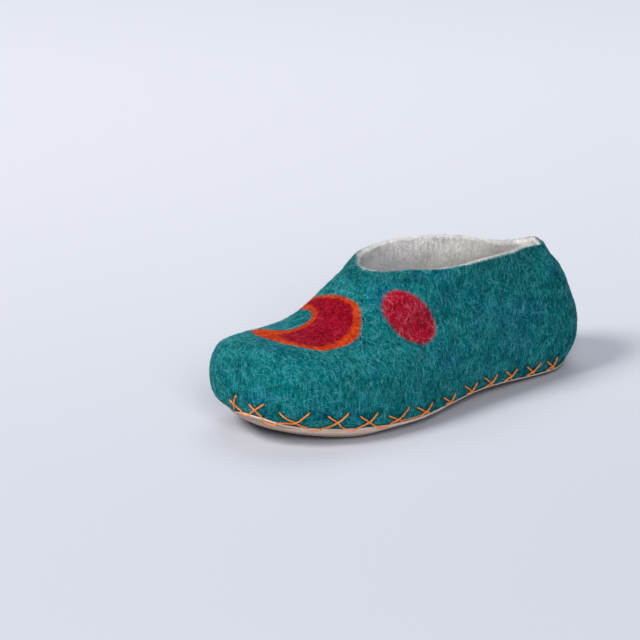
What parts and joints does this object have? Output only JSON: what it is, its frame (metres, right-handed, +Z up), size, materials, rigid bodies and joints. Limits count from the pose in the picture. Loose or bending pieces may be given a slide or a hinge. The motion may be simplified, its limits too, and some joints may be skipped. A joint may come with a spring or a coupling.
{
  "type": "felt slipper",
  "caption": "Closed-heel house slipper of thick seamless felt with a stitched leather sole and a felt insole.",
  "frame": {"origin": "on the floor under the middle of the slipper's length and width", "axes": "toe towards -Y, heel towards +Y, the wearer's left (outer side) towards +X, +Z up"},
  "size_m": [0.1047, 0.266, 0.089],
  "materials": {
    "teal_felt": "fuzzy wet-felted wool",
    "cream_felt": "fuzzy undyed wool felt",
    "pale_leather": "matt rough side",
    "crimson_felt": "fuzzy wool felted into the surface",
    "orange_felt": "fuzzy wool felted into the surface",
    "orange_thread": "waxed thread"
  },
  "bodies": {
    "root": {"upper": "teal_felt", "sole": "pale_leather", "insole": "cream_felt"}
  },
  "joints": []
}
